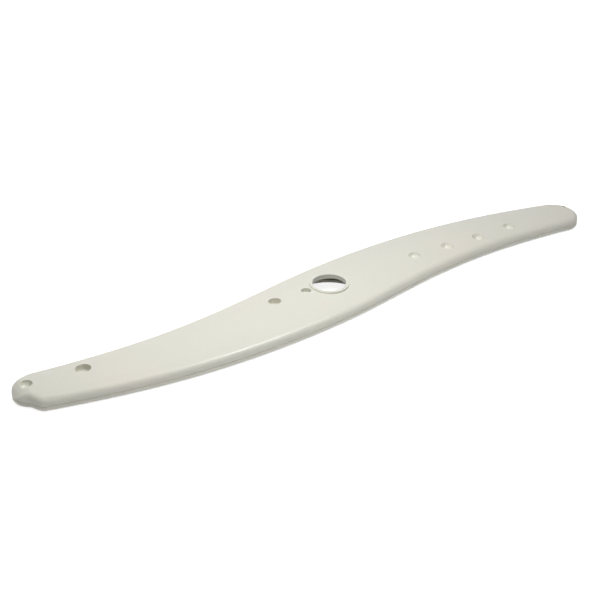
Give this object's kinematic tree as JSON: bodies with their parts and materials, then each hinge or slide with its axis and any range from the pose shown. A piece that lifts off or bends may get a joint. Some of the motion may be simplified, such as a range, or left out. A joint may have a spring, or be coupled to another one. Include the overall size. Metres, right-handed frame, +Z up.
{
  "type": "dishwasher spray arm",
  "caption": "Two-armed, gently S-shaped hollow spray arm of off-white plastic, with a rimmed hub hole, water jets along its top and a drive jet at one tip.",
  "frame": {"origin": "on the hub axis, in the plane of the flat underside", "axes": "+X along the arm towards its plain tip, +Y across it, +Z up out of the jets' side along the hub axis"},
  "size_m": [0.4904, 0.0842, 0.015],
  "materials": {
    "upper_shell": "satin off-white moulded plastic",
    "lower_shell": "satin off-white moulded plastic"
  },
  "bodies": {
    "root": {"upper_shell": "upper_shell", "lower_shell": "lower_shell"}
  },
  "joints": []
}
